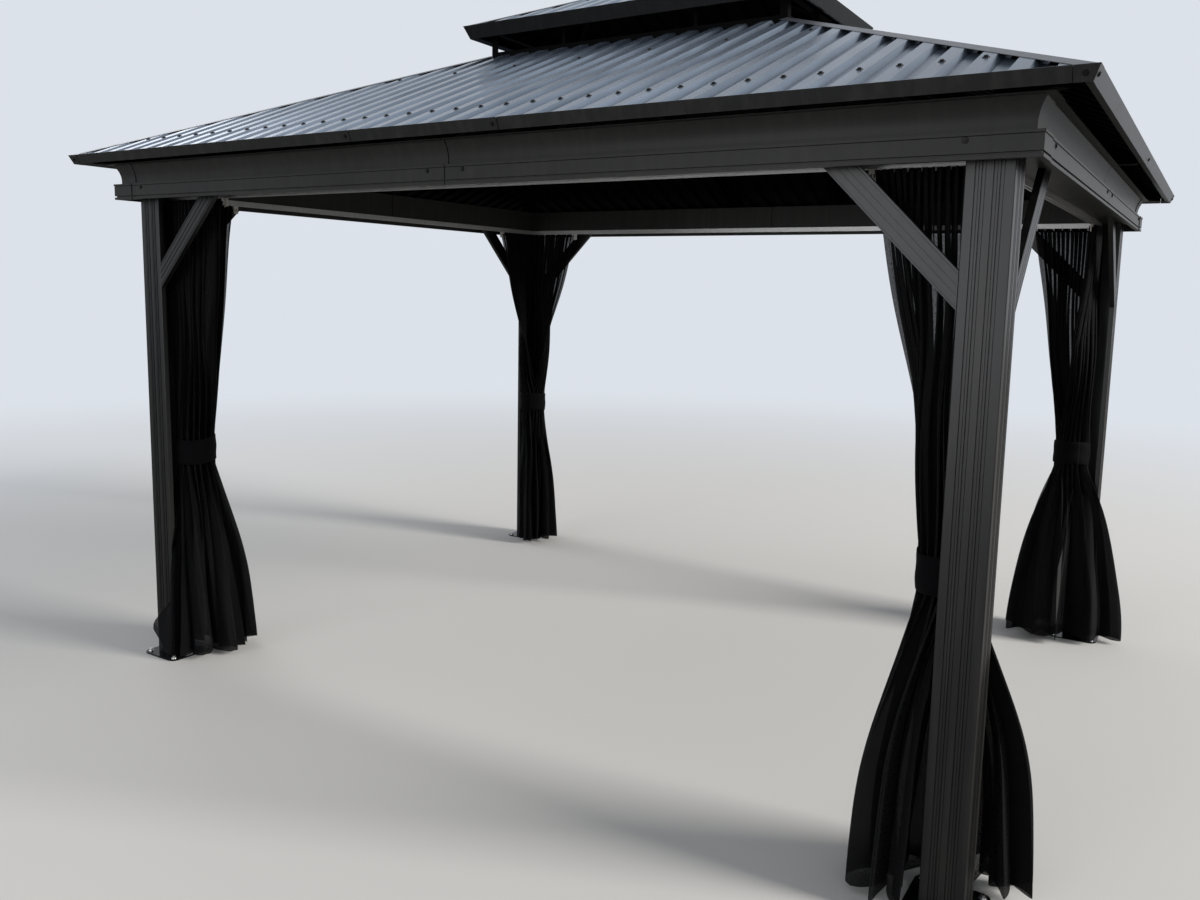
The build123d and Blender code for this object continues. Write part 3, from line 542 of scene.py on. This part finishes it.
for name, across, sheets in (
    ("roof_steel_long", (32.0, 1.6, 1.6), ("roof_front", "roof_back", "upper_roof_long")),
    ("roof_steel_end", (1.6, 32.0, 1.6), ("roof_left", "roof_right", "upper_roof_ends")),
):
    roof_steel = bpy.data.materials.new(name)
    roof_steel.use_nodes = True
    tree = roof_steel.node_tree
    shader = tree.nodes["Principled BSDF"]
    shader.inputs["Specular IOR Level"].default_value = 0.03
    marks = tree.nodes.new("ShaderNodeGroup")
    marks.node_tree = sheet_marks_and_painted_shade
    marks.inputs["Across"].default_value = across
    bump = tree.nodes.new("ShaderNodeBump")
    bump.inputs["Strength"].default_value = 0.08
    bump.inputs["Distance"].default_value = 0.0006
    tree.links.new(marks.outputs["Color"], shader.inputs["Base Color"])
    tree.links.new(marks.outputs["Roughness"], shader.inputs["Roughness"])
    tree.links.new(marks.outputs["Metal"], shader.inputs["Metallic"])
    tree.links.new(marks.outputs["Height"], bump.inputs["Height"])
    tree.links.new(bump.outputs["Normal"], shader.inputs["Normal"])
    dress(roof_steel, *sheets)

# Dark hexagon screws go through every rib just above the beam, and through every third rib
# in a second row below the vent. The ribs cut short by a hip have none.
ROOF_SCREW = (0.0095, 0.0055, 0.0055)
PITCH = math.radians(23.1)
EAVE_HEIGHT = 2.136
EAVE_OVERHANG = 0.240
RIB_CREST = 0.017
RIB_STEP = 0.104
CREST_AT_POST = EAVE_HEIGHT + EAVE_OVERHANG * math.tan(PITCH) + RIB_CREST / math.cos(PITCH)
# How far in from the posts' line each row lies, and the step from one screwed rib to the next.
SCREW_ROWS = ((-0.070, 1), (0.640, 3))
CLEAR_OF_HIP = 0.08
bm = bmesh.new()
for turn, post_line, half_side in QUARTERS:
    spin = Matrix.Rotation(math.radians(turn), 4, "Z")
    normal = spin.to_3x3() @ Vector((0.0, -math.sin(PITCH), math.cos(PITCH)))
    for inward, step in SCREW_ROWS:
        last = int((half_side - inward - CLEAR_OF_HIP) / RIB_STEP)
        for k in range(-last, last + 1):
            if k % step:
                continue
            height = CREST_AT_POST + inward * math.tan(PITCH)
            place = spin @ Vector((k * RIB_STEP, inward - post_line, height))
            add_screw(bm, place, normal, *ROOF_SCREW)
fixed_piece("roof_screws", bm, screw_black)

# Eave rails: folded aluminium along the sheets' lower edges, with a cap round each corner.
# A screw holds each leg of a cap and one stands beside each joint.
trim_coat = black_paint("eave_coat", (0.0125, 0.0127, 0.0130), 0.36, 0.04, 0.32)
for side in SIDES:
    dress(trim_coat, "eave_" + side)
dress(trim_coat, "eave_caps")
# The upper eave is the same trim in a darker black: painted shade, as it lies in shadow.
dress(black_paint("upper_eave_painted_shade", (0.0045, 0.0047, 0.0050), 0.4, 0.02, 0.18), "upper_eave")
EAVE_SCREW = (0.0075, 0.005, 0.004)
EAVE_FACE = 0.2418
CAP_PROUD = 0.0012
CAP_SCREW = 0.020
LONG_JOINT_SCREWS = (-0.330, 0.290)
SHORT_JOINT_SCREWS = (-0.020,)
bm = bmesh.new()
for turn, post_line, half_side in QUARTERS:
    spin = Matrix.Rotation(math.radians(turn), 4, "Z")
    normal = spin.to_3x3() @ Vector((0.0, -math.cos(PITCH), -math.sin(PITCH)))
    end = half_side + EAVE_OVERHANG - CAP_SCREW
    beside_joints = LONG_JOINT_SCREWS if post_line == POST_Y else SHORT_JOINT_SCREWS
    for x in (-end, end, *beside_joints):
        proud = CAP_PROUD if abs(x) == end else 0.0
        place = spin @ Vector((x, -post_line - EAVE_FACE - proud, EAVE_HEIGHT))
        add_screw(bm, place, normal, *EAVE_SCREW)
fixed_piece("eave_screws", bm, screw_black)

# Hip and ridge caps: folded strips of the roof's own steel over the seams between the slopes,
# a shade lighter than the trim.
cap_coat = black_paint("hip_cap_coat", (0.052, 0.058, 0.068), 0.34, 0.08, 0.4)
dress(cap_coat, "hip_caps", "upper_caps")

# Net curtains: black polyester mesh that lets a tenth of the light through, with doubled hems.
# Each bay's curtain parts in the middle, so every post gathers two halves: hung in close pleats,
# drawn into one bundle at the tie and spread again above the floor, each in its own way.
HEM_BELOW, HEADER_ABOVE = 0.023, 0.978
net = bpy.data.materials.new("black_net")
net.use_nodes = True
tree = net.node_tree
shader = tree.nodes["Principled BSDF"]
shader.inputs["Base Color"].default_value = (0.0030, 0.0030, 0.0034, 1.0)
shader.inputs["Roughness"].default_value = 0.75
shader.inputs["Specular IOR Level"].default_value = 0.08
shader.inputs["Sheen Weight"].default_value = 0.02
uv = tree.nodes.new("ShaderNodeUVMap")
uv.uv_map = "UVMap"
axes = tree.nodes.new("ShaderNodeSeparateXYZ")
tree.links.new(uv.outputs["UV"], axes.inputs["Vector"])
weave = tree.nodes.new("ShaderNodeTexNoise")
weave.inputs["Scale"].default_value = 260.0
weave.inputs["Detail"].default_value = 1.0
tree.links.new(uv.outputs["UV"], weave.inputs["Vector"])
density = tree.nodes.new("ShaderNodeMapRange")
density.inputs["From Min"].default_value = 0.3
density.inputs["From Max"].default_value = 0.7
density.inputs["To Min"].default_value = 0.88
density.inputs["To Max"].default_value = 0.95
tree.links.new(weave.outputs["Fac"], density.inputs["Value"])
hem = tree.nodes.new("ShaderNodeMath")
hem.operation = "LESS_THAN"
hem.inputs[1].default_value = HEM_BELOW
tree.links.new(axes.outputs["Y"], hem.inputs[0])
header = tree.nodes.new("ShaderNodeMath")
header.operation = "GREATER_THAN"
header.inputs[1].default_value = HEADER_ABOVE
tree.links.new(axes.outputs["Y"], header.inputs[0])
doubled = tree.nodes.new("ShaderNodeMath")
doubled.operation = "MAXIMUM"
tree.links.new(hem.outputs["Value"], doubled.inputs[0])
tree.links.new(header.outputs["Value"], doubled.inputs[1])
opacity = tree.nodes.new("ShaderNodeMath")
opacity.operation = "MULTIPLY_ADD"
opacity.inputs[1].default_value = 0.03
tree.links.new(doubled.outputs["Value"], opacity.inputs[0])
tree.links.new(density.outputs["Result"], opacity.inputs[2])
tree.links.new(opacity.outputs["Value"], shader.inputs["Alpha"])

HEADER_TOP = 1.985
HEM_BOTTOM = 0.020
NET_LENGTH = HEADER_TOP - HEM_BOTTOM
WAIST_CENTRE = 0.070
WAIST_RADIUS = 0.075
WAIST_BOTTOM = 0.850
WAIST_TOP = 0.990
WAIST_MIDDLE = (WAIST_BOTTOM + WAIST_TOP) / 2
COLUMNS = 210
HEIGHTS = np.concatenate([
    HEM_BOTTOM + np.linspace(0.0, 1.0, 40) ** 0.9 * (WAIST_BOTTOM - 0.01 - HEM_BOTTOM),
    np.linspace(WAIST_BOTTOM, WAIST_TOP, 5),
    np.linspace(WAIST_TOP + 0.02, HEADER_TOP - 0.04, 34),
    np.linspace(HEADER_TOP - 0.02, HEADER_TOP, 3),
])
# The header's pleats, and the folds at the rail, in the waist and at the hem: the share of the
# pleats that is left, how far they drift, the depth that none exceeds and how much they overlap.
PLEATS = 15
RAIL_FOLDS = (1.0, 0.26, 0.024, 0.50)
WAIST_FOLDS = (0.82, 0.40, 0.062, 0.50)
HEM_FOLDS = (0.34, 0.40, 0.080, 0.10)
# The header starts this far in from the post's centre, and hangs this far in from its line.
HEADER_START = 0.012
# In the waist the cloth begins at this angle, in degrees, and goes this far round the bundle.
WAIST_START, WAIST_TURN = -150, 215
# Pleats rise over this share of the width at a free edge, and their strength drifts between this
# many knots. A loose outline holds this much cloth for its length.
EDGE_SHARE = 0.03
STRENGTH_KNOTS = 17
LOOSE_CLOTH = 0.35
# Cloth keeps clear of the post's wall: inside the angle, before its outer face and past its
# free end. Cloth caught in the wall moves to the nearer of the two sides.
INSIDE_WALL = -0.0355
BEFORE_WALL = -0.0655
PAST_WALL = 0.067
NEARER_INSIDE = 0.030
# Loose cloth reaches this far back along the outer face, in full from this height down.
WRAP_REACH = 0.125
WRAPPED_BELOW = 0.06
# The loose sway between the waist and the ends, and the hem's lift, which dies out upwards.
SLACK = 0.007
SLACK_SPAN = 1.06
LOOSE_LIFT = 0.11
LEAST_LIFT = 0.004
LIFT_ENDS = 0.4


def smooth_path(points, s):
    """A rounded curve through a few plan points, read at the shares s of its length."""
    points = np.array(points)
    fine = np.linspace(0.0, 1.0, 400)
    steps = np.linalg.norm(np.diff(points, axis=0), axis=1)
    marks = np.concatenate([[0.0], np.cumsum(steps)]) / steps.sum()
    near = 35
    kernel = np.hanning(2 * near + 1)
    kernel = kernel / kernel.sum()
    rounded = []
    for axis in (0, 1):
        values = np.interp(fine, marks, points[:, axis])
        before = 2 * values[0] - values[near:0:-1]
        after = 2 * values[-1] - values[-2:-near - 2:-1]
        values = np.convolve(np.concatenate([before, values, after]), kernel, "valid")
        rounded.append(np.interp(s, fine, values))
    return np.stack(rounded, axis=1)


def wander(steps):
    """A smoothed random walk that comes back to where it started."""
    walk = np.pad(np.cumsum(steps), 12, mode="edge")
    walk = np.convolve(walk, np.ones(25) / 25, "valid")
    return walk - np.linspace(walk[0], walk[-1], walk.size)


def pleat(base, room_side, phase, drift, strength, width, folds):
    """Folds a plan curve towards one side, deep enough to take up the cloth's whole width."""
    share, unevenness, deepest, overlap = folds
    turn = share * phase + unevenness * drift
    step = np.gradient(base, axis=0)
    tangent = step / (np.linalg.norm(step, axis=1, keepdims=True) + 1e-9)
    normal = np.stack([-tangent[:, 1], tangent[:, 0]], axis=1) * room_side
    pitch = np.linalg.norm(np.diff(base, axis=0), axis=1).sum() / PLEATS
    shallow, deep = 0.0, deepest
    for _ in range(12):
        depth = (shallow + deep) / 2
        fold = depth * (0.9 - np.sin(turn)) * strength
        sway = overlap * min(pitch, depth) * np.sin(2 * turn + 0.6) * strength
        row = base + normal * fold[:, None] + tangent * sway[:, None]
        if np.linalg.norm(np.diff(row, axis=0), axis=1).sum() > width:
            deep = depth
        else:
            shallow = depth
    return row


def past_the_post(row, z, wrap):
    """Moves a row's places out of the post's wall. Below the height wrap some lie before it."""
    along, aside = row[:, 0], row[:, 1]
    wrapped = min(1.0, max(0.0, (wrap - z) / (wrap - WRAPPED_BELOW)))
    before = aside < BEFORE_WALL
    in_wall = (aside < INSIDE_WALL) & ~before & (along < PAST_WALL)
    along = np.where(before, np.maximum(along, PAST_WALL - WRAP_REACH * wrapped), along)
    aside = np.where(in_wall & (along <= NEARER_INSIDE), INSIDE_WALL, aside)
    along = np.where(in_wall & (along > NEARER_INSIDE), PAST_WALL, along)
    along = np.where((along < INSIDE_WALL) & ~before, INSIDE_WALL, along)
    return np.stack([along, aside], axis=1)


def hung_rows(reach, width, hem_path, loose, wrap, fullness, seed):
    """Plan places of a half curtain's rows from the hem up, and how far each column lifts."""
    rng = np.random.default_rng(seed)
    s = np.linspace(0.0, 1.0, COLUMNS)
    phase = 2 * math.pi * PLEATS * s
    drift = [wander(steps) for steps in rng.normal(0.0, 1.0, (2, COLUMNS))]
    knots = np.linspace(0.0, 1.0, STRENGTH_KNOTS)
    strength = np.interp(s, knots, rng.uniform(0.55, 1.0, STRENGTH_KNOTS))
    strength = strength * np.clip((1.0 - s) / EDGE_SHARE, 0.3, 1.0)

    spacing = np.interp(s, (0.0, 0.96, 1.0), (0.0, 0.92, 1.0))
    header_line = np.stack([HEADER_START + (reach - HEADER_START) * spacing,
                            np.full(COLUMNS, HEADER_START)], axis=1)
    top = pleat(header_line, 1, phase, drift[0], strength, width, RAIL_FOLDS)

    turn = np.radians(WAIST_START + WAIST_TURN * s)
    ring = WAIST_CENTRE + WAIST_RADIUS * np.stack([np.cos(turn), np.sin(turn)], axis=1)
    waist = pleat(ring, 1, phase, drift[1], strength, width, WAIST_FOLDS)

    laid = s
    if loose:
        laid = np.interp(s, (0.0, LOOSE_CLOTH * loose, 1.0), (0.0, loose, 1.0))
        strength = strength * np.clip((s - LOOSE_CLOTH * loose) / EDGE_SHARE, 0.0, 1.0)
    hem_line = smooth_path(hem_path, laid)
    heading = np.gradient(hem_line, axis=0)
    inward = WAIST_CENTRE - hem_line
    left_turn = (heading[:, 0] * inward[:, 1] - heading[:, 1] * inward[:, 0]).sum() > 0
    room_side = 1 if left_turn else -1
    spread = pleat(hem_line, room_side, phase, drift[1], strength, width, HEM_FOLDS)

    rows = []
    for z in HEIGHTS:
        row = waist
        if z < WAIST_BOTTOM:
            fall = (WAIST_BOTTOM - z) / (WAIST_BOTTOM - HEM_BOTTOM)
            row = waist + (spread - waist) * (1 - (1 - fall) ** fullness)
        elif z > WAIST_TOP:
            rise = (z - WAIST_TOP) / (HEADER_TOP - WAIST_TOP)
            row = waist + (top - waist) * rise ** 0.85
        slack = SLACK * math.sin(math.pi * min(1.0, abs(z - WAIST_MIDDLE) / SLACK_SPAN))
        lean = np.stack([np.sin(5 * s + 7 * z + seed), np.cos(4 * s + 9 * z + seed)], axis=1)
        rows.append(past_the_post(row + slack * lean, z, wrap))
    lift = 0.010 * np.sin(9 * s + seed) + 0.008 * np.sin(23 * s + 2 * seed)
    if loose:
        lift += LOOSE_LIFT * np.clip(1.0 - laid / loose, 0.0, 1.0)
    return np.array(rows), lift


def hang_half(corner, swap, rows, lift):
    """Meshes one half curtain. Its rows' places run along the half's own beam, then aside."""
    last_column, last_line = COLUMNS - 1, len(HEIGHTS) - 1
    bm = bmesh.new()
    bm.loops.layers.uv.new("UVMap")
    bmesh.ops.create_grid(bm, x_segments=last_column, y_segments=last_line, size=0.5,
                          calc_uvs=True)
    for vert in bm.verts:
        column = round((vert.co.x + 0.5) * last_column)
        line = round((vert.co.y + 0.5) * last_line)
        along, aside = rows[line, column]
        z = HEIGHTS[line]
        z += max(lift[column], HEM_BOTTOM + LEAST_LIFT - z) * max(0.0, 1 - z / LIFT_ENDS)
        vert.co = beside_post(corner, along, aside, z, swap)
    layer = bm.loops.layers.uv.active
    for face in bm.faces:
        for loop in face.loops:
            line = round(loop[layer].uv.y * last_line)
            loop[layer].uv.y = (HEIGHTS[line] - HEM_BOTTOM) / NET_LENGTH
    name = "net_" + corner + ("_side" if swap else "_bay")
    piece = fixed_piece(name, bm, net, smooth=True)
    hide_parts("curtain_" + corner)
    return piece


# Ties: a wide band of the same black cloth, wound once round each bundle at waist height and
# lapped over its own end.
tie_cloth = mottled("tie_cloth", 34.0, (0.0015, 0.0015, 0.002), (0.0045, 0.0043, 0.0049))
tree = tie_cloth.node_tree
tree.nodes["drift"].inputs["Detail"].default_value = 3.0
shader = tree.nodes["Principled BSDF"]
shader.inputs["Roughness"].default_value = 0.75
shader.inputs["Specular IOR Level"].default_value = 0.03
shader.inputs["Sheen Weight"].default_value = 0.02
where = tree.nodes.new("ShaderNodeTexCoord")
threads = tree.nodes.new("ShaderNodeTexWave")
threads.bands_direction = "Z"
threads.inputs["Scale"].default_value = 420.0
bump = tree.nodes.new("ShaderNodeBump")
bump.inputs["Strength"].default_value = 0.3
bump.inputs["Distance"].default_value = 0.0005
tree.links.new(where.outputs["Object"], threads.inputs["Vector"])
tree.links.new(threads.outputs["Fac"], bump.inputs["Height"])
tree.links.new(bump.outputs["Normal"], shader.inputs["Normal"])

TIE_BOTTOM = 0.866
TIE_WIDTH = 0.106
TIE_TURN = 410
TIE_CLEAR = 0.0038
LAP_RISE = 0.0026
bm = bmesh.new()
for corner, lap_at, tilt in (
    ("front_right", 150, 0.006), ("front_left", 60, 0.008),
    ("back_right", 70, 0.010), ("back_left", 20, 0.005),
):
    band = bmesh.ops.create_grid(bm, x_segments=90, y_segments=8, size=0.5)
    for vert in band["verts"]:
        share = vert.co.x + 0.5
        across = vert.co.y + 0.5
        turn = math.radians(lap_at + TIE_TURN * share)
        swell = 0.0012 * math.sin(math.pi * across) + 0.0010 * math.sin(3 * turn + 9 * across)
        radius = WAIST_RADIUS + TIE_CLEAR + LAP_RISE * share + swell
        wave = tilt * math.sin(turn) + 0.002 * math.sin(3 * turn)
        vert.co = beside_post(corner, WAIST_CENTRE + radius * math.cos(turn),
                              WAIST_CENTRE + radius * math.sin(turn),
                              TIE_BOTTOM + TIE_WIDTH * across + wave)
ties = fixed_piece("ties", bm, tie_cloth, smooth=True)
shell = ties.modifiers.new("thickness", "SOLIDIFY")
shell.thickness = 0.0014
shell.offset = 0.0
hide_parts("curtain_ties")

# The two halves at each post: the cloth's width, the outline of its hem from the post's free
# edge round to the middle of the bundle, the share of it that lies loose in front of the post
# and from which height down, and how soon the cloth spreads below the tie.
HALVES = (
    ("front_right", False, 1.75, 0.0, 0.24, 1.9,
     ((0.072, -0.010), (0.100, -0.125), (0.208, -0.142), (0.250, -0.110), (0.270, 0.000),
      (0.235, 0.110), (0.150, 0.150), (0.080, 0.120))),
    ("front_right", True, 1.55, 0.0, 0.24, 1.9,
     ((0.072, -0.010), (0.090, -0.170), (0.141, -0.222), (0.240, -0.170), (0.300, -0.020),
      (0.260, 0.110), (0.150, 0.150))),
    ("front_left", False, 1.75, 0.26, 0.24, 1.6,
     ((-0.056, -0.086), (0.020, -0.092), (0.100, -0.100), (0.169, -0.085), (0.240, 0.020),
      (0.260, 0.140), (0.200, 0.200))),
    ("front_left", True, 1.55, 0.0, 0.24, 1.6,
     ((0.062, -0.010), (0.120, -0.045), (0.200, -0.030), (0.275, 0.060), (0.285, 0.190),
      (0.200, 0.225))),
    ("back_right", False, 1.75, 0.0, 0.24, 2.0,
     ((0.072, -0.010), (0.150, -0.070), (0.270, -0.060), (0.330, -0.010), (0.300, 0.110),
      (0.215, 0.195), (0.120, 0.235), (0.060, 0.240))),
    ("back_right", True, 1.55, 0.0, 0.62, 2.0,
     ((0.088, 0.085), (0.070, -0.020), (0.020, -0.120), (-0.029, -0.196), (0.064, -0.105),
      (0.141, 0.005), (0.192, 0.109), (0.200, 0.240), (0.185, 0.290))),
    ("back_left", False, 1.75, 0.0, 0.24, 1.6,
     ((0.072, -0.010), (0.100, -0.080), (0.200, -0.070), (0.235, 0.030), (0.220, 0.120),
      (0.120, 0.190))),
    ("back_left", True, 1.55, 0.0, 0.24, 1.6,
     ((0.050, 0.000), (0.110, 0.005), (0.175, 0.045), (0.215, 0.100), (0.225, 0.150),
      (0.130, 0.190))),
)
FIRST_SEED = 3
for seed, (corner, swap, width, loose, wrap, fullness, hem_path) in enumerate(HALVES, FIRST_SEED):
    reach = TOP_REACH[corner][1 if swap else 0]
    rows, lift = hung_rows(reach, width, hem_path, loose, wrap, fullness, seed)
    half = hang_half(corner, swap, rows, lift)
